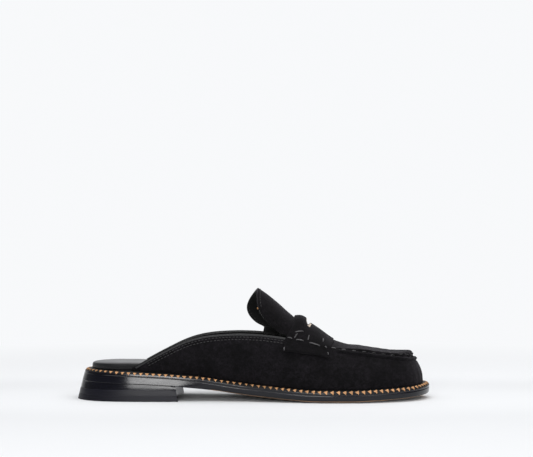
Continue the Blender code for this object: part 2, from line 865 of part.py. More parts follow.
def place_axis():
    """An empty that carries every piece and centres the sole on the origin."""
    sides = [point.y for point in level(lambda x: 0.0, underside)]
    axis = bpy.data.objects.new("last_axis", None)
    bpy.context.scene.collection.objects.link(axis)
    axis.location = (-LENGTH / 2, -(min(sides) + max(sides)) / 2, 0.0)


def build():
    for old in list(bpy.data.objects):
        bpy.data.objects.remove(old, do_unlink=True)
    place_axis()
    build_heel()
    build_outsole()
    build_welt()
    build_insole()
    build_upper()
    build_tongue()
    build_strap()
    bpy.context.view_layer.update()


build()
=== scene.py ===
# %% [markdown]
# # Loafer mule in black suede: the looks
# The solids of the shoe are already made and stand in one fixed frame. This lesson dresses them:
# it rounds and creases the leather, sews the threads, binds the topline and gives every surface
# its finish. All lengths are in metres, +X points to the toe and +Z up.

# %% Load the frame
import math
import bmesh
import bpy
import numpy as np
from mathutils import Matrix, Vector
from mathutils.bvhtree import BVHTree


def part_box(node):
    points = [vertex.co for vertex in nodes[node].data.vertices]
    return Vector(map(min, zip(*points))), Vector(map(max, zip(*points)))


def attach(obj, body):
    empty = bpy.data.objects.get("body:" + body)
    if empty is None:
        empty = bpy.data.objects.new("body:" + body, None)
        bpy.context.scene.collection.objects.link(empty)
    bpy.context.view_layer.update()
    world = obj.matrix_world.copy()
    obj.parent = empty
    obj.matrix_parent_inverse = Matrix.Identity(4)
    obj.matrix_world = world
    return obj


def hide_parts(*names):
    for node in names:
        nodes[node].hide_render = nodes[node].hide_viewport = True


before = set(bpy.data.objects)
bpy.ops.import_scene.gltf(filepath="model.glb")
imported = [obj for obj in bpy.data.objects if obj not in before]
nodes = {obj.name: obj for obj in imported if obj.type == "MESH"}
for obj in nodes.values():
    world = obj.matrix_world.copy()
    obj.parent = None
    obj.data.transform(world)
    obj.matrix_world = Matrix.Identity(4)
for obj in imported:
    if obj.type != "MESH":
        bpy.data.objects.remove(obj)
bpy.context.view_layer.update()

# %% [markdown]
# ## Finishes: how a material is begun
# Numbers that are the same all over a surface are set on the shader's sockets, and only what varies
# comes from texture nodes. The textures read the object's own coordinates, in metres, so their scale
# is the real one. Each kind of node has a small helper, so that a finish reads like a recipe.

# %% Helpers for finishes
def begin_finish(name, roughness):
    """A new material with its shader and its object coordinates."""
    finish = bpy.data.materials.new(name)
    finish.use_nodes = True
    tree = finish.node_tree
    shader = tree.nodes["Principled BSDF"]
    shader.inputs["Roughness"].default_value = roughness
    place = tree.nodes.new("ShaderNodeTexCoord").outputs["Object"]
    return finish, shader, place


def new_node(near, kind):
    """A node in the same tree as another node's output."""
    return near.id_data.nodes.new(kind)


def fill(node, inputs):
    """Gives each named input a value, or a link from another node's output."""
    for key, value in inputs.items():
        if isinstance(value, bpy.types.NodeSocket):
            node.id_data.links.new(value, node.inputs[key])
        else:
            node.inputs[key].default_value = value
    return node.outputs


def stretched(place, scale):
    """The coordinates stretched along the axes, for grain with a direction."""
    return fill(new_node(place, "ShaderNodeMapping"), {"Vector": place, "Scale": scale})["Vector"]


def cloudy(place, scale, detail=3.0, rough=0.55):
    """Soft random clouds, about 1/scale metres across."""
    noise = new_node(place, "ShaderNodeTexNoise")
    return fill(noise, {"Vector": place, "Scale": scale, "Detail": detail, "Roughness": rough})["Fac"]


def between(factor, low, high, start=0.3, end=0.7):
    """Runs from one colour to another as the factor goes from start to end."""
    ramp = new_node(factor, "ShaderNodeValToRGB")
    for stop, position, colour in zip(ramp.color_ramp.elements, (start, end), (low, high)):
        stop.position = position
        stop.color = (*colour, 1.0)
    return fill(ramp, {"Fac": factor})["Color"]


def multiplied(one, other):
    """One colour darkened or lightened by another."""
    mix = new_node(one, "ShaderNodeMix")
    mix.data_type = "RGBA"
    mix.blend_type = "MULTIPLY"
    return fill(mix, {"Factor": 1.0, "A": one, "B": other})["Result"]


def straight_range(value, start, end, low, high):
    """Goes evenly from low to high as the value goes from start to end."""
    scale = new_node(value, "ShaderNodeMapRange")
    ends = {"From Min": start, "From Max": end, "To Min": low, "To Max": high}
    return fill(scale, {"Value": value, **ends})["Result"]


def raised(heights):
    """Bumps on top of each other: (height, strength, depth in metres) for each."""
    below = {}
    for height, strength, depth in heights:
        bump = new_node(height, "ShaderNodeBump")
        fill(bump, {"Height": height, "Strength": strength, "Distance": depth, **below})
        below = {"Normal": bump.outputs["Normal"]}
    return below["Normal"]


# %% [markdown]
# ## Suede
# Suede is the flesh side of the hide, buffed until its fibres stand up as a nap. It has no gloss:
# light catches the fibre tips at grazing angles, which the shader's sheen does. The nap lies one way
# here and another way there, which shows as lighter and darker clouds. Single fibres are too many to
# model, so noises stand in for them, as colour and as bump, each finer than the last: strokes, tufts,
# speckle and fibres. The tongue and the strap get a darker copy of the suede: painted shade that tones
# down the light they catch from above.

# %% Black suede
def make_suede(name, dark, light):
    """Napped leather: strokes between the two colours, broken up by tufts and fibre tips."""
    finish, shader, place = begin_finish(name, 0.95)
    strokes = cloudy(stretched(place, (1.0, 1.6, 1.6)), 55, 4.0, 0.6)
    speckle = cloudy(place, 900, 3.0, 0.7)
    tufts = cloudy(place, 330, 2.0, 0.6)
    fibres = cloudy(place, 2600, 2.0, 0.6)
    brushed = between(strokes, dark, light, 0.30, 0.72)
    tips = between(speckle, (0.35, 0.35, 0.35), (1.9, 1.85, 1.9), 0.32, 0.70)
    clumps = between(tufts, (0.55, 0.55, 0.55), (1.45, 1.42, 1.45), 0.35, 0.65)
    nap = [(strokes, 0.25, 0.0006), (tufts, 0.30, 0.0004), (speckle, 0.35, 0.0003), (fibres, 0.30, 0.00015)]
    fill(shader, {
        "Base Color": multiplied(multiplied(brushed, tips), clumps),
        "Normal": raised(nap),
        "Specular IOR Level": 0.15,
        "Sheen Weight": 0.07,
        "Sheen Roughness": 0.45,
        "Sheen Tint": (0.80, 0.74, 0.84, 1.0),
    })
    return finish


suede = make_suede("black_suede", (0.0016, 0.0014, 0.0018), (0.0060, 0.0053, 0.0065))
# A darker copy for the tongue and the strap: painted shade against the light they catch from above.
painted_shade_suede = make_suede("painted_shade_suede", (0.0012, 0.0010, 0.0013), (0.0043, 0.0037, 0.0046))
print("made", suede.name, "and", painted_shade_suede.name)

# %% [markdown]
# ## Smooth leathers
# Smooth leather has a fine net of pores and folds, so its bump comes from cells with a little noise,
# and its roughness wanders a little. The footbed is polished; its side and the linings are duller. The
# footbed's side is also lighter than its top, as painted light where it catches the lamps, and the
# tongue's lining is darker than the upper's, as painted shade.
# The tread is rubbed grey-brown, and two places are left raw: the coin slot and the sole's border.

# %% Leathers
def make_leather(name, dark, light, roughness, grain, depth, gloss=0.5):
    """Leather with patches between two colours; grain is the number of pore cells in a metre."""
    finish, shader, place = begin_finish(name, roughness)
    cells = new_node(place, "ShaderNodeTexVoronoi")
    cells.feature = "SMOOTH_F1"
    folds = fill(cells, {"Vector": place, "Scale": grain})["Distance"]
    patches = cloudy(place, 45)
    pores = cloudy(place, grain * 2.5, 2.0)
    fill(shader, {
        "Base Color": between(patches, dark, light),
        "Roughness": straight_range(patches, 0.0, 1.0, roughness - 0.07, roughness + 0.07),
        "Normal": raised([(folds, 0.35, depth), (pores, 0.25, depth * 0.5)]),
        "Specular IOR Level": gloss,
    })
    return finish


lining = make_leather("lining_leather", (0.016, 0.0175, 0.016), (0.030, 0.033, 0.030), 0.50, 700, 0.00012)
footbed = make_leather(
    "footbed_leather", (0.011, 0.0095, 0.0115), (0.018, 0.0155, 0.0185), 0.38, 620, 0.00010, gloss=1.0)
# The footbed's side is lighter than its top: painted light, where it catches the lamps.
painted_light_side = make_leather(
    "footbed_painted_light_side", (0.012, 0.012, 0.0125), (0.027, 0.0265, 0.028), 0.48, 620, 0.00010, gloss=0.30)
welt_leather = make_leather(
    "welt_leather", (0.003, 0.003, 0.0035), (0.008, 0.008, 0.009), 0.55, 800, 0.00012, gloss=0.25)
# The tongue's lining is far darker than the upper's: painted shade, where it lies in shadow.
painted_shade_lining = make_leather(
    "painted_shade_lining", (0.0030, 0.0031, 0.0030), (0.0065, 0.0068, 0.0066), 0.55, 700, 0.00012, gloss=0.25)
binding_leather = make_leather(
    "binding_leather", (0.005, 0.005, 0.0055), (0.011, 0.011, 0.012), 0.42, 900, 0.00008, gloss=0.35)
cut_suede = make_leather(
    "cut_suede_edge", (0.0030, 0.0028, 0.0030), (0.0090, 0.0084, 0.0090), 0.9, 900, 0.0002, gloss=0.15)
raw_sole = make_leather("raw_sole_leather", (0.20, 0.115, 0.062), (0.30, 0.185, 0.105), 0.55, 500, 0.0001)
tread = make_leather("sole_tread_leather", (0.055, 0.047, 0.040), (0.095, 0.083, 0.070), 0.60, 420, 0.00012)
raw_edge = make_leather("raw_leather_edge", (0.50, 0.40, 0.31), (0.72, 0.63, 0.53), 0.7, 900, 0.0001)
print("made the leathers")

# %% [markdown]
# ## Dyed edges and rubber
# The cut edges of the sole and heel are dyed black and waxed, with the layers of the leather showing
# as hairlines; the blue in their colour is painted reflection of the cool white room. A noise that
# is squeezed flat gives these layers. The sole and the upper heel piece are nearly a mirror, the lower
# one is duller, the breast of the heel, which faces forward, is a lighter lilac grey as painted light,
# and the rubber is matt.

# %% Edges
def make_edge(name, dark, light, roughness, gloss):
    """A cut leather edge, dyed and waxed, with its layers as hairlines; the colours passed in carry the
    painted reflection of the edges and the painted light of the breast.
    """
    finish, shader, place = begin_finish(name, roughness)
    layers = cloudy(stretched(place, (26, 26, 2600)), 1.0, 2.0, 0.5)
    clouds = cloudy(stretched(place, (60, 60, 260)), 1.0)
    fill(shader, {
        "Base Color": between(layers, dark, light, 0.35, 0.62),
        "Roughness": straight_range(clouds, 0.0, 1.0, roughness - 0.05, roughness + 0.07),
        "Normal": raised([(layers, 0.06, 0.00006), (clouds, 0.08, 0.0003)]),
        "Specular IOR Level": gloss,
    })
    return finish


# The blue in the colours of the dyed and the dull edge is painted reflection of the cool white room.
dye_and_reflection_edge = make_edge("dye_and_reflection_edge", (0.0008, 0.0008, 0.0028), (0.0036, 0.0036, 0.0078), 0.14, 0.40)
dull_edge = make_edge("dull_edge", (0.0020, 0.0020, 0.0050), (0.0080, 0.0080, 0.0140), 0.36, 0.24)
# The breast gets a lighter lilac grey: painted light on the face that looks forward.
painted_light_breast = make_edge("painted_light_breast", (0.060, 0.057, 0.075), (0.100, 0.094, 0.125), 0.30, 0.5)
rubber = make_edge("heel_rubber", (0.004, 0.004, 0.007), (0.012, 0.012, 0.018), 0.42, 0.18)
print("made the edges and the rubber")

# %% [markdown]
# ## Threads
# A sewing thread is two or three plies twisted together and waxed. The twist shows as slanting bands
# along each stitch. Every stitch below carries its own coordinates, u along it and v round it, so
# a wave texture on them winds the bands round the thread. Dirt darkens it in soft clouds, the pale
# thread of the apron most of all, and that one also grows darker from the strap towards the toe.

# %% Threads
PLY_BANDS = 1.6
DARKER_TINT = (0.12, 0.11, 0.12)


def make_thread(name, dark, light, roughness, soil=0.75, darkening_span=None):
    """Twisted thread; the last argument gives the two lengths of the shoe between which it darkens."""
    finish, shader, place = begin_finish(name, roughness)
    wave = new_node(place, "ShaderNodeTexWave")
    wave.bands_direction = "DIAGONAL"
    around = place.node.outputs["UV"]
    plies = fill(wave, {"Vector": around, "Scale": PLY_BANDS, "Distortion": 0.6})["Fac"]
    soiled = between(cloudy(place, 120), (soil, soil, soil), (1.1, 1.1, 1.1))
    colour = multiplied(between(plies, dark, light, 0.1, 0.8), soiled)
    if darkening_span is not None:
        along = fill(new_node(place, "ShaderNodeSeparateXYZ"), {"Vector": place})["X"]
        reach = straight_range(along, *darkening_span, 0.0, 1.0)
        colour = multiplied(colour, between(reach, (1.0, 1.0, 1.0), DARKER_TINT, 0.0, 1.0))
    fill(shader, {"Base Color": colour, "Normal": raised([(plies, 0.5, 0.00012)])})
    return finish


ochre_thread = make_thread("ochre_thread", (0.42, 0.20, 0.075), (0.74, 0.40, 0.185), 0.6)
# The pale thread grows darker along the shoe, from the strap towards the toe.
pale_thread = make_thread(
    "pale_thread", (0.038, 0.036, 0.039), (0.100, 0.096, 0.100), 0.5, soil=0.45, darkening_span=(0.064, 0.084))
black_thread = make_thread("black_thread", (0.006, 0.006, 0.006), (0.020, 0.019, 0.020), 0.6)
print("made the threads")

# %% [markdown]
# ## From solid to leather
# The solids are faceted, with a point every few millimetres. Subdivision makes them smooth: first the
# triangles are joined into quads, then the edges that are truly sharp on the shoe are marked, and then
# each face is split in four, twice. The copy takes the solid's place in the picture.

# %% Helpers for smoothing a solid
SPLITS = 2
SAME_POINT = 1e-6
QUAD_FLATNESS = math.radians(35)
QUAD_SKEW = math.radians(60)


def add_object(name, data):
    """A new object that stands in the scene."""
    made = bpy.data.objects.new(name, data)
    bpy.context.scene.collection.objects.link(made)
    return made


def add_mesh(name, points, faces):
    """A new object made of points and faces."""
    mesh = bpy.data.meshes.new(name)
    mesh.from_pydata(points, [], faces)
    return add_object(name, mesh)


def quads_of(node):
    """The solid's mesh with its triangles joined into quads."""
    work = bmesh.new()
    work.from_mesh(nodes[node].data)
    bmesh.ops.remove_doubles(work, verts=work.verts, dist=SAME_POINT)
    bmesh.ops.join_triangles(work, faces=work.faces, angle_face_threshold=QUAD_FLATNESS,
                             angle_shape_threshold=QUAD_SKEW)
    work.normal_update()
    return work


def smooth_copy(node, name, keep_sharp, hold=1.0):
    """A finer mesh than the solid's; edges that turn by more than keep_sharp degrees stay crisp."""
    work = quads_of(node)
    crease = work.edges.layers.float.new("crease_edge")
    for edge in work.edges:
        if len(edge.link_faces) == 2 and edge.calc_face_angle() > math.radians(keep_sharp):
            edge[crease] = hold
    mesh = bpy.data.meshes.new(name)
    work.to_mesh(mesh)
    work.free()
    piece = add_object(name, mesh)
    divide = piece.modifiers.new("finer", "SUBSURF")
    divide.levels = divide.render_levels = SPLITS
    ready = piece.evaluated_get(bpy.context.evaluated_depsgraph_get())
    finer = bpy.data.meshes.new_from_object(ready)
    piece.modifiers.clear()
    piece.data = finer
    finer.name = name
    return piece


def vectors_of(items, key):
    """One vector for each point or face, as the rows of an array."""
    values = np.empty(len(items) * 3)
    items.foreach_get(key, values)
    return values.reshape(-1, 3)


def points_of(piece):
    return vectors_of(piece.data.vertices, "co")


def normals_of(piece):
    return vectors_of(piece.data.vertex_normals, "vector")


def face_centres(piece):
    return vectors_of(piece.data.polygons, "center")


def face_normals(piece):
    return vectors_of(piece.data.polygons, "normal")


def move_points(piece, shift):
    piece.data.vertices.foreach_set("co", (points_of(piece) + shift).ravel())
    piece.data.update()


def dress(piece, finishes, sharp_from, choice=None):
    """Sets the finishes, one per face where a choice is given, and smooth shading."""
    piece.data.materials.clear()
    for finish in finishes:
        piece.data.materials.append(finish)
    if choice is not None:
        piece.data.polygons.foreach_set("material_index", choice.astype(np.int32))
    piece.data.shade_smooth()
    piece.data.set_sharp_from_angle(angle=math.radians(sharp_from))


def settle(piece, node, finishes, sharp_from, choice):
    """The piece gets its finishes, rides with the shoe and stands for its solid."""
    dress(piece, finishes, sharp_from, choice)
    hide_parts(node)
    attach(piece, "root")
    print(f"{piece.name}: {len(piece.data.polygons)} faces")


# %% [markdown]
# ## Working with many points at once
# A fine mesh has tens of thousands of points, so they are kept in arrays and moved all together. These
# helpers do the sums that come back everywhere, on directions, on shares and on lines.

# %% Helpers for points, directions and lines
def unit(vectors):
    """The same directions, each of length one."""
    return vectors / (np.linalg.norm(vectors, axis=1)[:, None] + 1e-12)


def square_to(vectors, axes):
    """The directions turned until they stand square to the axes."""
    return unit(vectors - axes * (vectors * axes).sum(axis=1)[:, None])


def eased(values, start, end):
    """0 before start, 1 after end, smooth between."""
    share = np.clip((values - start) / (end - start), 0.0, 1.0)
    return share * share * (3.0 - 2.0 * share)


def softened(line, rounds, closed=False):
    """Evens out small steps in a line; open ends stay where they are."""
    line = np.array(line)
    for _ in range(rounds):
        if closed:
            line = (np.roll(line, 1, axis=0) + 2 * line + np.roll(line, -1, axis=0)) / 4
        else:
            line[1:-1] = (line[:-2] + 2 * line[1:-1] + line[2:]) / 4
    return line


def run_of(line):
    """How far along the line each of its points lies."""
    return np.concatenate(([0.0], np.cumsum(np.linalg.norm(np.diff(line, axis=0), axis=1))))


def points_at(line, distances):
    """The points that lie at these distances along the line."""
    run = run_of(line)
    return np.stack([np.interp(distances, run, line[:, k]) for k in range(3)], axis=1)


def surface_of(piece):
    """A search tree that finds the nearest point of a piece."""
    return BVHTree.FromPolygons(points_of(piece).tolist(), [tuple(p.vertices) for p in piece.data.polygons])


# %% [markdown]
# ## Which way is out
# The upper is one wall with two faces: suede outside, leather inside. A face is outside if it looks
# away from a line that runs through the middle of the foot room, low down and along the shoe.

# %% Inside or outside
low_corner, high_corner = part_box("upper")
MIDDLE_Y = (low_corner[1] + high_corner[1]) / 2
AXIS_HEIGHT = 0.016
AXIS_END = 0.082


def looks_out(places, directions):
    """True where a direction points away from the middle line of the shoe."""
    from_line = places - (0, MIDDLE_Y, AXIS_HEIGHT)
    from_line[:, 0] -= np.minimum(places[:, 0], AXIS_END)
    return (from_line * directions).sum(axis=1) > 0


def inner_faces(piece):
    """True for the faces on the lining side."""
    return ~looks_out(face_centres(piece), face_normals(piece))


# %% [markdown]
# ## Soft troughs in the suede
# A lasted upper is pulled tight over the toe, yet it is never perfectly even: it dips where the side
# wall meets the flap of the strap, and has long shallow waves at the ball of the foot. Each is a row
# of numbers: place and height of the trough, its slant in degrees, its length, its width
# and its depth. The points of the fine mesh are pushed in along their own normals.

# %% Troughs
WALL_TROUGHS = [
    (0.0405, 0.0245, 78, 0.016, 0.0030, 0.00040),
    (0.0500, 0.0225, 86, 0.014, 0.0034, 0.00035),
    (0.0590, 0.0210, 95, 0.012, 0.0032, 0.00028),
    (0.0300, 0.0300, 70, 0.016, 0.0040, 0.00030),
    (0.0140, 0.0330, 62, 0.020, 0.0050, 0.00028),
    (-0.0100, 0.0330, 40, 0.026, 0.0060, 0.00030),
    (-0.0350, 0.0290, 30, 0.028, 0.0060, 0.00026),
    (0.0760, 0.0240, 100, 0.012, 0.0050, 0.00022),
]
TROUGH_SWAY = 0.0006
TROUGH_SWAY_RATE = 330


def trough_depth(points, troughs):
    """How deep the troughs are at each point, seen from the side; each one sways a little."""
    depth = np.zeros(len(points))
    for k, (x, z, slant, length, width, deepest) in enumerate(troughs):
        turn = math.radians(slant)
        east = points[:, 0] - x
        up = points[:, 2] - z
        along = east * math.cos(turn) + up * math.sin(turn)
        across = up * math.cos(turn) - east * math.sin(turn)
        across = across + TROUGH_SWAY * np.sin(along * TROUGH_SWAY_RATE + k)
        depth += deepest * np.exp(-((along / length) ** 2) * 2 - (across / width) ** 2)
    return depth


# %% [markdown]
# ## Puckers above the welt
# Where the suede is drawn in above the welt there is more of it than room, so it puckers. The puckers
# are a wave along the welt, round the toe as on a half circle and straight along the sides, stronger
# in some places than in others, that dies out a centimetre up.

# %% Puckers
PUCKER_PITCH = 0.0075
PUCKER_DEPTH = 0.00013
PUCKER_REACH = 0.0090
PUCKER_CHANGE = 97
TOE_CENTRE = 0.078
TOE_RADIUS = 0.046
WELT_PLACES = (-0.134, -0.09, -0.03, 0.03, 0.134)
WELT_LEVELS = (0.020, 0.020, 0.0165, 0.0120, 0.0135)


def pucker_depth(points):
    """How deep the puckers are at each point."""
    x = points[:, 0]
    toe_turn = np.arctan2(np.abs(points[:, 1] - MIDDLE_Y), x - TOE_CENTRE)
    along = np.where(x > TOE_CENTRE, TOE_RADIUS * toe_turn, TOE_RADIUS * math.pi / 2 + TOE_CENTRE - x)
    strength = PUCKER_DEPTH * (0.6 + 0.4 * np.sin(along * PUCKER_CHANGE))
    above = np.clip(points[:, 2] - np.interp(x, WELT_PLACES, WELT_LEVELS), 0, None)
    return strength * np.sin(along * 2 * math.pi / PUCKER_PITCH) * np.exp(-((above / PUCKER_REACH) ** 2))


# %% [markdown]
# ## The apron seam, seen from above
# The seam's groove is in the solid already. To sew along it, its plan is written down in rows: a
# place along the shoe, and where the seam is there on the outer and on the inner side. They are
# joined into one line round the toe and dropped onto the upper. Each stitch pinches the leather, and
# between two it swells. SEAM_PHASE says where the first one sits, as a share of the pitch.

# %% Apron seam
APRON_SEAM = [
    (0.0342, -0.0274, 0.0251),
    (0.0460, -0.0281, 0.0261),
    (0.0560, -0.0287, 0.0266),
    (0.0650, -0.0290, 0.0271),
    (0.0740, -0.0295, 0.0280),
    (0.0820, -0.0296, 0.0283),
    (0.0905, -0.0282, 0.0277),
    (0.0992, -0.0259, 0.0264),
    (0.1066, -0.0228, 0.0243),
    (0.1116, -0.0198, 0.0218),
    (0.1163, -0.0146, 0.0169),
    (0.1204, -0.0066, 0.0092),
    (0.1220, 0.0015, 0.0015),
]
SEAM_PARTS = 6
SEAM_PITCH = 0.0076
SEAM_PHASE = 0.4
PINCH_DEPTH = 0.00035
PINCH_REACH = 0.0030
PINCH_STEP = 0.0005
PINCH_MARGIN = 0.004
PINCH_LOWEST = 0.024
AT_ONCE = 4000


def seam_line(tree):
    """The apron seam from the strap round the toe and back, laid on the upper."""
    plan = [(x, outer) for x, outer, _ in APRON_SEAM] + [(x, inner) for x, _, inner in APRON_SEAM[-2::-1]]
    parts = np.arange((len(plan) - 1) * SEAM_PARTS) / SEAM_PARTS
    dense = np.stack([np.interp(parts, np.arange(len(plan)), axis) for axis in zip(*plan)], axis=1)
    hits = [tree.ray_cast(Vector((x, y, 0.12)), Vector((0, 0, -1))) for x, y in softened(dense, 12)]
    return softened([tuple(hit[0]) for hit in hits], 4)


def pinches(points, line):
    """Each stitch of the seam pulls the leather in; between two stitches it swells."""
    dense = points_at(line, np.arange(0, run_of(line)[-1], PINCH_STEP))
    depth = np.zeros(len(points))
    close = np.nonzero((points[:, 0] > line[:, 0].min() - PINCH_MARGIN) & (points[:, 2] > PINCH_LOWEST))[0]
    for start in range(0, len(close), AT_ONCE):
        part = close[start:start + AT_ONCE]
        gaps = np.linalg.norm(points[part][:, None] - dense, axis=2)
        wave = np.cos(2 * math.pi * (gaps.argmin(axis=1) * PINCH_STEP / SEAM_PITCH - SEAM_PHASE))
        depth[part] = PINCH_DEPTH * wave * np.exp(-((gaps.min(axis=1) / PINCH_REACH) ** 2))
    return depth


# %% [markdown]
# ## The upper
# The upper's smooth copy gets all three kinds of relief, on its outside only: troughs and puckers on
# the upright wall, where a face looks up by less than the limits below, and pinches along the seam.

# %% Upper
WALL_LIMITS = (0.55, 0.85)

upper = smooth_copy("upper", "suede_upper", 62, 0.9)
apron_line = seam_line(surface_of(upper))
spots = points_of(upper)
ways = normals_of(upper)
on_wall = 1.0 - eased(ways[:, 2], *WALL_LIMITS)
relief = (trough_depth(spots, WALL_TROUGHS) + pucker_depth(spots)) * on_wall + pinches(spots, apron_line)
move_points(upper, -ways * (relief * looks_out(spots, ways))[:, None])
settle(upper, "upper", [suede, lining], 60, inner_faces(upper))

# %% [markdown]
# ## Tongue
# The tongue wears the same darker suede as the strap, which is painted shade, and is lined with smooth
# leather, which shows where its free end flares up. That lining is far darker than the upper's, as
# painted shade. It gets two shallow waves of its own.

# %% Tongue
TONGUE_TROUGHS = [
    (0.0130, 0.0640, -42, 0.020, 0.0040, 0.00030),
    (0.0180, 0.0540, -35, 0.016, 0.0045, 0.00035),
]

tongue = smooth_copy("tongue", "suede_tongue", 55, 0.85)
spots = points_of(tongue)
ways = normals_of(tongue)
move_points(tongue, -ways * (trough_depth(spots, TONGUE_TROUGHS) * looks_out(spots, ways))[:, None])
settle(tongue, "tongue", [painted_shade_suede, painted_shade_lining], 60, inner_faces(tongue))

# %% [markdown]
# ## Saddle strap
# The strap is folded over at its long edges, and its solid already has that puffed form. Only its two
# flaps are worked on: sewn above and loose below, they stand off the wall by less than a millimetre,
# in a slow wave. A face that looks neither out of the strap's round nor into it is a cut edge. The
# cuts of the coin slot, and a narrow rim in front of them, are left raw.

# %% Strap
FLAP_REAR = (0.0211, 0.0376)
FLAP_FRONT = (0.0546, 0.0324)
FLAP_REACH = 0.0055
FLAP_LIFT = 0.0008
FLAP_LIFT_RATE = 420
FLAP_SAG = 0.0004
FLAP_SAG_RATE = 300
ROUND_HEIGHT = 0.02
CUT_LIMIT = 0.5
SLOT_MIDDLE = (0.040, MIDDLE_Y)
SLOT_HALF = (0.007, 0.016)
BARE_RIM = 0.0013

strap = smooth_copy("strap", "suede_strap", 55, 0.55)
spots = points_of(strap)
border = np.interp(spots[:, 0], *zip(FLAP_REAR, FLAP_FRONT))
loose = 1.0 - eased(spots[:, 2] - border, 0.0, FLAP_REACH)
from_rear = spots[:, 0] - FLAP_REAR[0]
lift = FLAP_LIFT * (0.7 + 0.3 * np.sin(from_rear * FLAP_LIFT_RATE))
away = np.zeros_like(spots)
away[:, 1] = np.sign(spots[:, 1] - MIDDLE_Y) * loose * lift
away[:, 2] = FLAP_SAG * loose * np.sin(from_rear * FLAP_SAG_RATE)
move_points(strap, away)

middles = face_centres(strap)
round_ways = unit((middles - (0, MIDDLE_Y, ROUND_HEIGHT)) * (0, 1, 1))
cut = np.abs((round_ways * face_normals(strap)).sum(axis=1)) < CUT_LIMIT
in_slot = (np.abs(middles[:, :2] - SLOT_MIDDLE) < SLOT_HALF).all(axis=1)
bare = cut & in_slot
slot_walls = middles[bare]
around_slot = np.nonzero(in_slot & ~cut)[0]
gaps = np.linalg.norm(middles[around_slot][:, None] - slot_walls, axis=2)
in_front = middles[around_slot][:, 0] > slot_walls[gaps.argmin(axis=1)][:, 0]
bare[around_slot[(gaps.min(axis=1) < BARE_RIM) & in_front]] = True
# The strap wears the darker copy of the suede, which is painted shade.
settle(strap, "strap", [painted_shade_suede, cut_suede, raw_edge], 60, np.where(bare, 2, cut))

# %% [markdown]
# ## Sole, welt, footbed and heel
# The stacked pieces keep their solids' forms and only get smooth outlines. The layers grow by a hair,
# so no light falls between them. Finishes are chosen by where a face looks: the sole has a dyed side,
# whose blue is painted reflection, a raw tan border that shows as a thin brown line where the bottom
# edge is rounded over, and a grey-brown tread. Welt and footbed have one finish above and one at the
# side; the footbed's side is lighter, as painted light. The breast of each heel piece, which looks
# forward, is lighter too, as painted light.

# %% Stacked pieces
LIFT_PRESS = 0.00012
BORDER_LIMIT = -0.62
TREAD_LIMIT = -0.985
WELT_SIDE_LIMIT = 0.30
FOOTBED_SIDE_LIMIT = 0.5
BREAST_LIMIT = 0.75
HEEL_PIECES = (("heel_lift_1", dye_and_reflection_edge, "heel_leather"), ("heel_lift_2", dull_edge, "heel_leather"),
               ("top_lift", rubber, "heel_rubber"))


def press_together(piece, keep_floor=False):
    """Layers of a stacked sole touch: each grows by a hair up and down, or only up."""
    rise = np.sign(normals_of(piece)) * (0, 0, LIFT_PRESS)
    move_points(piece, np.maximum(rise, 0) if keep_floor else rise)


def looks_up(piece):
    """How far each face looks up: 1 is straight up, 0 is level and -1 is straight down."""
    return face_normals(piece)[:, 2]


welt = smooth_copy("welt", "sewn_welt", 30)
press_together(welt)
welt_side = np.abs(looks_up(welt)) < WELT_SIDE_LIMIT
settle(welt, "welt", [welt_leather, dye_and_reflection_edge], 30, welt_side)

outsole = smooth_copy("outsole", "leather_outsole", 40)
press_together(outsole, True)
sole_finish = (looks_up(outsole) < BORDER_LIMIT).astype(int) + (looks_up(outsole) < TREAD_LIMIT)
settle(outsole, "outsole", [dye_and_reflection_edge, raw_sole, tread], 50, sole_finish)

insole = smooth_copy("insole", "leather_footbed", 18)
# The side faces of the footbed take the lighter finish, which is painted light.
footbed_rim = np.abs(looks_up(insole)) < FOOTBED_SIDE_LIMIT
settle(insole, "insole", [footbed, painted_light_side], 60, footbed_rim)

for node, finish, slot in HEEL_PIECES:
    heel_piece = smooth_copy(node, "stacked_" + node, 40)
    press_together(heel_piece, node == "top_lift")
    # Faces that look forward get the lighter breast finish, which is painted light.
    breast = face_normals(heel_piece)[:, 0] > BREAST_LIMIT
    settle(heel_piece, node, [finish, painted_light_breast], 40, breast)

# %% [markdown]
# ## Reading a line off a surface
# Seams run along edges. To find the welt's rim or the topline, a flat plane is passed through the
# fine mesh, and the points where it cuts the faces are kept. The one that lies farthest out, or
# highest, is the edge at that place. Many planes side by side give the line.

# %% Helpers for lines on a surface
def triangles_of(piece):
    """The corners of every triangle of the piece."""
    mesh = piece.data
    mesh.calc_loop_triangles()
    corners = np.empty(len(mesh.loop_triangles) * 3, dtype=np.int32)
    mesh.loop_triangles.foreach_get("vertices", corners)
    return points_of(piece)[corners.reshape(-1, 3)]


def cut_points(triangles, centre, turn):
    """Where the upright plane through the centre, at that turn, cuts the triangles, on its far side."""
    ahead = np.array((math.cos(turn), math.sin(turn)))
    aside = np.array((-math.sin(turn), math.cos(turn)))
    side = (triangles[:, :, :2] - centre) @ aside
    found = []
    for a, b in ((0, 1), (1, 2), (2, 0)):
        crossing = side[:, a] * side[:, b] < 0
        start = triangles[crossing, a]
        share = side[crossing, a] / (side[crossing, a] - side[crossing, b])
        found.append(start + (triangles[crossing, b] - start) * share[:, None])
    found = np.concatenate(found)
    reach = (found[:, :2] - centre) @ ahead
    return found[reach > 0], reach[reach > 0]


def walk(line, pitch, closed=False, phase=0.5):
    """Points at an even pitch along a line, with their directions."""
    line = np.vstack((line, line[:1])) if closed else line
    length = run_of(line)[-1]
    count = max(2, round(length / pitch))
    marks = (np.arange(count) + phase) * length / count
    ahead = points_at(line, np.minimum(marks + pitch * 0.2, length))
    behind = points_at(line, np.maximum(marks - pitch * 0.2, 0))
    return points_at(line, marks), unit(ahead - behind)


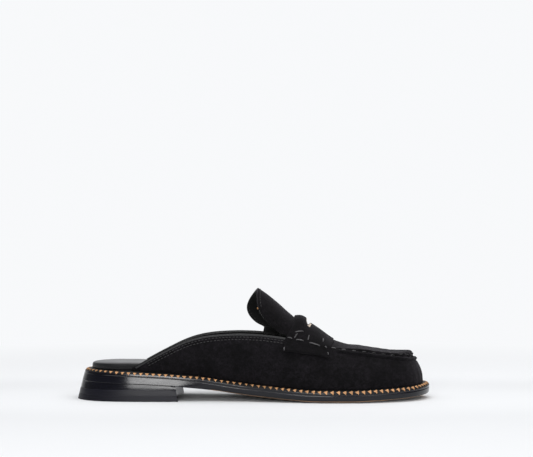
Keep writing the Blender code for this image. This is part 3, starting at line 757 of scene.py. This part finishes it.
# %% [markdown]
# ## One stitch, many stitches
# All the stitches of a row are one mesh. A stitch is a short tube that is thick in the middle and dives
# into the leather at both ends. Its points are computed once and then placed at every mark of the
# row with three directions: along the stitch, across it and out of the leather.

# %% Helpers for stitches
STITCH_TIP = 0.08
STITCH_DIVE = 0.35
SIDE_START = 0.08


def tube_faces(rings, spokes):
    """The faces of a closed tube with that many rings of points and spokes in each."""
    faces = [tuple(range(spokes))[::-1], tuple(range((rings - 1) * spokes, rings * spokes))]
    for i in range(rings - 1):
        for j in range(spokes):
            here = i * spokes + j
            beside = i * spokes + (j + 1) % spokes
            faces.append((here, beside, beside + spokes, here + spokes))
    return faces


def stitch_form(length, width, height, ends, steps=8, spokes=8, taper=0.0):
    """Points (along, across, out), faces and thread coordinates; with a taper one end is wider."""
    points = []
    shares = []
    for i in range(steps + 1):
        share = i / steps
        swell = math.sin(math.pi * (STITCH_TIP + (1 - 2 * STITCH_TIP) * share)) ** ends
        wide = width / 2 * swell * (1 + taper * (share - 0.5) * 2)
        rise = height * (math.sin(math.pi * share) ** 0.5 - STITCH_DIVE)
        for j in range(spokes):
            turn = 2 * math.pi * j / spokes
            out = rise + height / 2 * swell * math.sin(turn)
            points.append(((share - 0.5) * length, wide * math.cos(turn), out))
            shares.append((share, j / spokes))
    return np.array(points), tube_faces(steps + 1, spokes), np.array(shares)


def sew(name, form, places, alongs, outs, finish, lengths=1.0):
    """One mesh with the stitch repeated at every place, each stretched to its length."""
    points, faces, shares = form
    places, alongs = np.array(places), np.array(alongs)
    acrosses = unit(np.cross(np.array(outs), alongs))
    reaches = points[:, 0] * np.reshape(lengths, (-1, 1))
    cloud = places[:, None] + reaches[:, :, None] * alongs[:, None] + points[:, 1, None] * acrosses[:, None]
    cloud += points[:, 2, None] * np.cross(alongs, acrosses)[:, None]
    size = len(points)
    all_faces = [tuple(i + k * size for i in face) for k in range(len(places)) for face in faces]
    piece = add_mesh(name, cloud.reshape(-1, 3).tolist(), all_faces)
    layer = piece.data.uv_layers.new(name="thread")
    corners = np.empty(len(piece.data.loops), dtype=np.int32)
    piece.data.loops.foreach_get("vertex_index", corners)
    layer.data.foreach_set("uv", shares[corners % size].ravel())
    dress(piece, [finish], 60)
    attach(piece, "root")
    print(f"{name}: {len(places)} stitches")


def on_surface(tree, points):
    """The nearest places on a surface, and the directions out of it."""
    hits = [tree.find_nearest(Vector(point)) for point in points]
    return np.array([tuple(hit[0]) for hit in hits]), np.array([tuple(hit[1]) for hit in hits])


def from_outside(tree, points, side):
    """Where a surface is met when coming in from one side of the shoe, at each point's length and height."""
    starts = [Vector((point[0], MIDDLE_Y + side * SIDE_START, point[2])) for point in points]
    hits = [tree.ray_cast(start, Vector((0, -side, 0))) for start in starts]
    met = [point if hit[0] is None else tuple(hit[0]) for point, hit in zip(points, hits)]
    return on_surface(tree, met)


# %% [markdown]
# ## The welt's contrast stitching
# A thick ochre thread is whipped over the bevelled rim of the welt, all the way round the shoe. From
# the side each stitch is a small wedge, wide above and pointed below, with dark leather between it and
# the next. The row follows the rim, found with planes that turn round the middle of the shoe.
# Hand work isn't even: towards the toe the stitches are longer and slanted, at the waist they are
# longest, and in places they slip over the rim, as far as LOW_SHARES say.

# %% Rim of the welt
RIM_PLANES = 720
RIM_BAND = 0.0004

welt_triangles = triangles_of(welt)
rim = []
for k in range(RIM_PLANES):
    found, reach = cut_points(welt_triangles, (0.0, MIDDLE_Y), 2 * math.pi * k / RIM_PLANES)
    edge = found[reach > reach.max() - RIM_BAND]
    rim.append(edge[edge[:, 2].argmax()])
rim = softened(rim, 6, True)
print("rim of the welt:", round(run_of(rim)[-1], 3), "metres")

# %% Welt stitches
WELT_PITCH = 0.0046
WEDGE_LENGTH = 0.0023
WEDGE_WIDTH = 0.0020
WEDGE_HEIGHT = 0.00044
WEDGE_TAPER = 0.78
WEDGE_BEND = 0.00022
WELT_INSET = 0.0013
WELT_RISE = 0.0010
WELT_SLOPE_IN = 0.80
WELT_SLOPE_UP = 0.60
WELT_LEAN = 0.38
LEAN_FROM = 0.3
FORWARD = (-0.060, 0.030)
WAIST_START = (-0.055, -0.035)
WAIST_END = (0.000, 0.030)
WELT_LONGER = 0.26
WAIST_LONGER = 0.40
LOW_PLACES = (-0.122, -0.100, -0.052, -0.040, -0.004, 0.012, 0.055, 0.118, 0.128)
LOW_SHARES = (-0.2, 0.7, 0.8, 0.15, -0.25, 0.0, 1.0, 0.8, 0.2)
LOW_DROP = 0.8
LOW_TILT = 0.45

marks, rim_ways = walk(rim, WELT_PITCH, True)
inward = unit(np.cross((0, 0, 1), rim_ways))
low = np.interp(marks[:, 0], LOW_PLACES, LOW_SHARES)[:, None]
above = np.array((0.0, 0.0, WELT_RISE)) * (1.0 - LOW_DROP * low)
bevel_places, bevel_outs = on_surface(surface_of(welt), marks + inward * WELT_INSET * (1.0 - low) + above)
bevel_outs = unit(bevel_outs - inward * LOW_TILT * low)

forward = eased(bevel_places[:, 0], *FORWARD)
toe_ways = rim_ways * np.sign(rim_ways[:, :1]) * (np.abs(rim_ways[:, :1]) > LEAN_FROM)
leaning = toe_ways * (WELT_LEAN * forward)[:, None]
up_slope = square_to(inward * WELT_SLOPE_IN + (0, 0, WELT_SLOPE_UP) - leaning, bevel_outs)
at_waist = eased(marks[:, 0], *WAIST_START) * (1 - eased(marks[:, 0], *WAIST_END))
welt_lengths = 1 + WELT_LONGER * forward + WAIST_LONGER * at_waist

welt_form = stitch_form(WEDGE_LENGTH, WEDGE_WIDTH, WEDGE_HEIGHT, ends=0.25, spokes=10, taper=WEDGE_TAPER)
welt_form[0][:, 2] -= WEDGE_BEND * (2 * welt_form[0][:, 0] / WEDGE_LENGTH) ** 2
sew("welt_stitches", welt_form, bevel_places, up_slope, bevel_outs, ochre_thread, welt_lengths)

# %% [markdown]
# ## Topline binding
# The raw edge of the opening is wrapped in a narrow strip of thin leather, as wide as the wall is
# thick. It is a small rounded section swept along the topline of each wing, from the tail to where
# the strap crosses it.

# %% Topline of each wing
TOPLINE_START = low_corner[0] + 0.0025
TOPLINE_END = 0.0330
TOPLINE_STEPS = 130
TOP_BAND = 0.0005
upper_triangles = triangles_of(upper)


def read_topline(side):
    """The outer and inner border of the wall's top, from the tail to the throat."""
    outer = []
    inner = []
    for x in np.linspace(TOPLINE_START, TOPLINE_END, TOPLINE_STEPS):
        found, _ = cut_points(upper_triangles, (x, MIDDLE_Y), side * math.pi / 2)
        top = found[found[:, 2] > found[:, 2].max() - TOP_BAND]
        outer.append(top[np.abs(top[:, 1] - MIDDLE_Y).argmax()])
        inner.append(top[np.abs(top[:, 1] - MIDDLE_Y).argmin()])
    return softened(outer, 5), softened(inner, 5)


toplines = {side: read_topline(side) for side in (-1, 1)}
print("topline of the outer side:", run_of(toplines[-1][0])[-1].round(3), "metres")

# %% Binding
BINDING_HALF_WIDTH = 0.00135
BINDING_HALF_HEIGHT = 0.00125
BINDING_SINK = 0.00095
BINDING_SPOKES = 14


def swept(name, line, acrosses, ups, finish):
    """The binding's rounded section carried along a line."""
    rings = []
    for centre, across, up in zip(line, acrosses, ups):
        for j in range(BINDING_SPOKES):
            turn = 2 * math.pi * j / BINDING_SPOKES
            wide = across * BINDING_HALF_WIDTH * math.cos(turn)
            rings.append(tuple(centre + wide + up * BINDING_HALF_HEIGHT * math.sin(turn)))
    faces = tube_faces(len(line), BINDING_SPOKES)
    piece = add_mesh(name, rings, faces)
    work = bmesh.new()
    work.from_mesh(piece.data)
    bmesh.ops.recalc_face_normals(work, faces=work.faces)
    work.to_mesh(piece.data)
    work.free()
    dress(piece, [finish], 70)
    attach(piece, "root")
    print(f"{name}: {len(faces)} faces")


for side, label in ((-1, "outer"), (1, "inner")):
    outer, inner = toplines[side]
    middle = (outer + inner) / 2
    along = unit(np.gradient(middle, axis=0))
    across = square_to(inner - outer, along)
    up = np.cross(along, across)
    up *= np.sign(up[:, 2])[:, None]
    swept("topline_binding_" + label, middle - up * BINDING_SINK, across, up, binding_leather)

# %% [markdown]
# ## Two rows of stitches below the topline
# The lining is sewn to the suede with two parallel rows of fine black thread, one just below the
# binding and one a little lower. They follow the topline, so its outer border is moved down the wall
# and laid on the surface.

# %% Topline stitches
TOPLINE_ROWS = (0.0024, 0.0042)
ROW_BEGINS = 8
FINE_PITCH = 0.0026
fine_form = stitch_form(length=0.0021, width=0.00062, height=0.00034, ends=0.5, steps=6, spokes=6)
upper_tree = surface_of(upper)

rows = []
for side in (-1, 1):
    outer, inner = toplines[side]
    down = np.cross(unit(np.gradient(outer, axis=0)), unit(outer - inner))
    down *= -np.sign(down[:, 2])[:, None]
    for drop in TOPLINE_ROWS:
        marks, directions = walk((outer + down * drop)[ROW_BEGINS:], FINE_PITCH)
        found, found_outs = from_outside(upper_tree, marks, side)
        rows.append((found, directions, found_outs))
sew("topline_stitches", fine_form, *map(np.vstack, zip(*rows)), black_thread)

# %% [markdown]
# ## Edge stitching of the tongue and the strap
# Both have a row of stitches a few millimetres inside their borders. The border of a piece is where its
# upper face meets its cut edge, so the faces are followed outward from the highest one until the
# surface turns sharply. The border is then rounded, moved inward and walked along. The tongue's row
# ends where the strap covers it.

# %% Border of the tongue or the strap
BORDER_TURN = math.radians(50)
CURVE_PARTS = 6


def upper_face(work):
    """The faces that belong to the top of a strip of leather."""
    top = max(work.faces, key=lambda face: face.calc_center_median().z + 0.002 * face.normal.z)
    skin = {top}
    waiting = [top]
    while waiting:
        for edge in waiting.pop().edges:
            for other in edge.link_faces:
                if other not in skin and edge.calc_face_angle(0) < BORDER_TURN:
                    skin.add(other)
                    waiting.append(other)
    return skin


def border_of(node):
    """The longest closed line round the upper face of a strip of leather."""
    work = quads_of(node)
    skin = upper_face(work)
    stops = {}
    for edge in work.edges:
        if len([face for face in edge.link_faces if face in skin]) == 1:
            a, b = edge.verts
            stops.setdefault(a, []).append(b)
            stops.setdefault(b, []).append(a)
    lines = []
    while stops:
        here = next(iter(stops))
        line = [here]
        while stops[here]:
            following = stops[here].pop()
            stops[following].remove(here)
            line.append(following)
            here = following
        stops = {corner: others for corner, others in stops.items() if others}
        lines.append(np.array([tuple(corner.co) for corner in line[:-1]]))
    work.free()
    return max(lines, key=lambda line: run_of(line)[-1])


def rounded_line(line):
    """A smooth closed curve through the border's points."""
    before = np.roll(line, 1, axis=0)
    after = np.roll(line, -1, axis=0)
    later = np.roll(line, -2, axis=0)
    curve = []
    for t in np.arange(CURVE_PARTS) / CURVE_PARTS:
        bend = (2 * before - 5 * line + 4 * after - later) * t**2
        twist = (3 * line - before - 3 * after + later) * t**3
        curve.append(0.5 * (2 * line + (after - before) * t + bend + twist))
    return np.stack(curve, axis=1).reshape(-1, 3)


# %% Edge stitches
TONGUE_INSET = 0.0026
TONGUE_ROW_END = 0.022
STRAP_INSET = 0.0022
ROW_ABOVE = 0.0006


def edge_row(node, piece, inset, row_end=math.inf):
    """Places, directions and ways out of the stitches in a row inside the border."""
    line = rounded_line(border_of(node))
    along = unit(np.roll(line, -1, axis=0) - np.roll(line, 1, axis=0))
    within = square_to(line.mean(axis=0) - line, along)
    marks, directions = walk(softened(line + within * inset, 8, True), FINE_PITCH, True)
    shown = marks[:, 0] < row_end
    found, found_outs = on_surface(surface_of(piece), marks[shown] + (0, 0, ROW_ABOVE))
    return found, directions[shown], found_outs


sew("tongue_stitches", fine_form, *edge_row("tongue", tongue, TONGUE_INSET, TONGUE_ROW_END), black_thread)
sew("strap_stitches", fine_form, *edge_row("strap", strap, STRAP_INSET), black_thread)

# %% [markdown]
# ## Hand sewing of the apron
# The apron is joined to the wall by a hand-sewn seam: long single stitches of waxed thread lie in the
# groove, and each one pinches the two leathers together. The pinches are already in the upper's
# mesh; here the stitches go over them, at the same pitch.

# %% Apron stitches
SEAM_START = 0.0575
SEAM_ABOVE = 0.0004
SEAM_RISE = 0.0002
seam_form = stitch_form(length=0.0040, width=0.0010, height=0.0007, ends=0.5)
marks, directions = walk(apron_line, SEAM_PITCH, False, SEAM_PHASE)
shown = marks[:, 0] > SEAM_START
found, found_outs = on_surface(upper_tree, marks[shown] + (0, 0, SEAM_ABOVE))
found[:, 2] += SEAM_RISE
sew("apron_stitches", seam_form, found, directions[shown], found_outs, pale_thread)

# %% [markdown]
# ## Hand sewing of the strap
# Where the strap crosses the seam it is held by the same waxed thread: long stitches along the seam,
# and short ones that stand across it, at the rear roll, in the middle and at the front edge. Each is
# given by its two ends, length and height, and laid on the strap. Both sides of the shoe get them.

# %% Strap threads
STRAP_THREADS = [
    ((0.0248, 0.0470), (0.0288, 0.0461)),
    ((0.0228, 0.0402), (0.0226, 0.0376)),
    ((0.0312, 0.0455), (0.0374, 0.0444)),
    ((0.0410, 0.0432), (0.0493, 0.0408)),
    ((0.0304, 0.0466), (0.0326, 0.0498)),
    ((0.0403, 0.0450), (0.0414, 0.0486)),
    ((0.0516, 0.0436), (0.0519, 0.0458)),
    ((0.0527, 0.0405), (0.0540, 0.0392)),
    ((0.0546, 0.0362), (0.0550, 0.0346)),
    ((0.0308, 0.0508), (0.0375, 0.0512)),
]
thread_form = stitch_form(length=1.0, width=0.0011, height=0.0008, ends=0.4, steps=10)
strap_tree = surface_of(strap)
rows = []
for side in (-1, 1):
    for thread in STRAP_THREADS:
        ends, end_outs = from_outside(strap_tree, [(x, 0, z) for x, z in thread], side)
        length = np.linalg.norm(ends[1] - ends[0])
        rows.append((ends.mean(axis=0), (ends[1] - ends[0]) / length, end_outs.mean(axis=0), length))
places, alongs, outs, lengths = zip(*rows)
sew("strap_threads", thread_form, places, alongs, outs, pale_thread, lengths)

# %% [markdown]
# ## A thread end at the tongue
# One knotted end of the ochre thread peeps out at the tongue's root, on the outer side. A short, thick
# stitch that stands upright is enough for it.

# %% Thread end at the tongue
KNOT_PLACE = (0.0030, 0, 0.0672)
knot_form = stitch_form(length=0.0020, width=0.0015, height=0.0013, ends=0.3)
knot, knot_out = from_outside(surface_of(tongue), [KNOT_PLACE], -1)
sew("tongue_thread_end", knot_form, knot, [(0.0, 0.0, 1.0)], knot_out, ochre_thread)

# %% [markdown]
# ## Floor
# The shoe stands on a white floor that curves up into a white wall, so no horizon shows. A studio
# floor is lit by lamps of its own until only the soft shadow of the shoe is left on it. Here the
# floor glows instead: fully far from the shoe, weaker far to the sides, and faintly close by, from
# the edge of the shadow outward, and behind the shoe. Where the full glow takes over, the floor's
# own colour goes to black, so that the lamps don't lighten it any more.

# %% Floor
FLOOR_FRONT = -3.2
BEND_START = 2.0
BEND_RADIUS = 1.2
WALL_TOP = 4.0
HALF_WIDTH = 4.0
FLOOR_COLOUR = (0.86, 0.87, 0.885)
GLOW_COLOUR = (0.930, 0.940, 0.955, 1.0)
SHOE_SHAPE = (0.36, 1.0, 0.0)


def smooth_range(value, start, end, low=0.0, high=1.0):
    """Eases from low to high as the value goes from start to end."""
    result = straight_range(value, start, end, low, high)
    result.node.interpolation_type = "SMOOTHSTEP"
    return result


def computed(operation, first, *others, kind="ShaderNodeMath", result="Value"):
    """One step of arithmetic that begins with a link."""
    step = new_node(first, kind)
    step.operation = operation
    return fill(step, dict(enumerate((first, *others))))[result]


def distance(vector):
    """How far a place is from the middle of the shoe."""
    return computed("LENGTH", vector, kind="ShaderNodeVectorMath")


def make_floor_finish():
    """White that glows by an amount that depends on the place."""
    finish, shader, place = begin_finish("studio_white", 1.0)
    axes = fill(new_node(place, "ShaderNodeSeparateXYZ"), {"Vector": place})
    full = smooth_range(distance(place), 0.16, 0.78)
    aside = smooth_range(computed("ABSOLUTE", axes["X"]), 0.9, 2.2, 1.0, 0.5)
    flattened = computed("MULTIPLY", place, SHOE_SHAPE, kind="ShaderNodeVectorMath", result="Vector")
    close_by = smooth_range(distance(flattened), 0.034, 0.060, 0.0, 0.085)
    outward = smooth_range(distance(flattened), 0.060, 0.150, 1.0, 0.08)
    behind = smooth_range(axes["Y"], 0.05, 0.20, 0.0, 0.125)
    not_full = straight_range(full, 0.0, 1.0, 1.0, 0.0)
    glow = computed("MULTIPLY_ADD", close_by, outward, computed("MULTIPLY", full, aside))
    fill(shader, {
        "Base Color": between(full, FLOOR_COLOUR, (0.0, 0.0, 0.0), 0.0, 1.0),
        "Emission Color": GLOW_COLOUR,
        "Emission Strength": computed("MULTIPLY_ADD", behind, not_full, glow),
        "Specular IOR Level": 0.0,
    })
    return finish


turns = np.linspace(0.1, math.pi / 2, 14)
profile = [(FLOOR_FRONT, 0.0), (BEND_START, 0.0)]
profile += [(BEND_START + BEND_RADIUS * math.sin(a), BEND_RADIUS * (1 - math.cos(a))) for a in turns]
profile.append((BEND_START + BEND_RADIUS, WALL_TOP))
corners = [(x, y, z) for y, z in profile for x in (-HALF_WIDTH, HALF_WIDTH)]
strips = [(2 * i, 2 * i + 1, 2 * i + 3, 2 * i + 2) for i in range(len(profile) - 1)]
floor = add_mesh("studio_floor", corners, strips)
floor.data.materials.append(make_floor_finish())
floor.data.shade_smooth()
print("floor of", len(strips), "strips")

# %% [markdown]
# ## Light
# One large soft light above makes the soft shadow under the sole. A second one, low and to the left of
# the camera, gives the bright patch on the waxed side of the heel; it would bleach the polished
# footbed, so the footbed is left out of what it lights. A third, to the right, opens the shadows,
# and the white room around adds a little light from everywhere.

# %% Lights
ROOM_COLOUR = (0.95, 0.97, 1.0, 1.0)
ROOM_STRENGTH = 0.16


def soft_light(name, place, target, width, height, power):
    """A rectangular lamp at a place, turned towards its target."""
    light = bpy.data.lights.new(name, "AREA")
    light.shape = "RECTANGLE"
    light.size = width
    light.size_y = height
    light.energy = power
    lamp = add_object(name, light)
    lamp.location = place
    lamp.rotation_euler = (Vector(target) - Vector(place)).to_track_quat("-Z", "Y").to_euler()
    return lamp


soft_light("overhead", (0.1, -0.20, 1.5), (0, 0, 0), 2.0, 1.6, 20.0)
left_front = soft_light("left_front", (-0.22, -1.25, 0.33), (-0.08, 0, 0.01), 0.45, 0.34, 6.2)
soft_light("right_fill", (0.9, -1.3, 0.9), (0, 0, 0.03), 0.9, 0.6, 5)
shaded = bpy.data.collections.new("shaded_from_left_front")
shaded.objects.link(insole)
left_front.light_linking.receiver_collection = shaded
shaded.collection_objects[0].light_linking.link_state = "EXCLUDE"

world = bpy.data.worlds.new("white_room")
world.use_nodes = True
fill(world.node_tree.nodes["Background"], {"Color": ROOM_COLOUR, "Strength": ROOM_STRENGTH})
bpy.context.scene.world = world
bpy.context.scene.view_settings.view_transform = "Standard"
print("lights:", len(bpy.data.lights))

# %% [markdown]
# ## Camera
# The camera stands where the photograph was taken from: nine tenths of a metre away and just above
# the tongue, looking up by two degrees.

# %% Camera
camera = bpy.data.cameras.new("camera")
camera.lens = 79.3
camera.sensor_width = 36.0
viewer = add_object("camera", camera)
viewer.location = (0.00966, -0.900, 0.093)
viewer.rotation_euler = (math.radians(92.27), 0.0, 0.0)
bpy.context.scene.camera = viewer
print("lens:", round(camera.lens, 1), "mm")
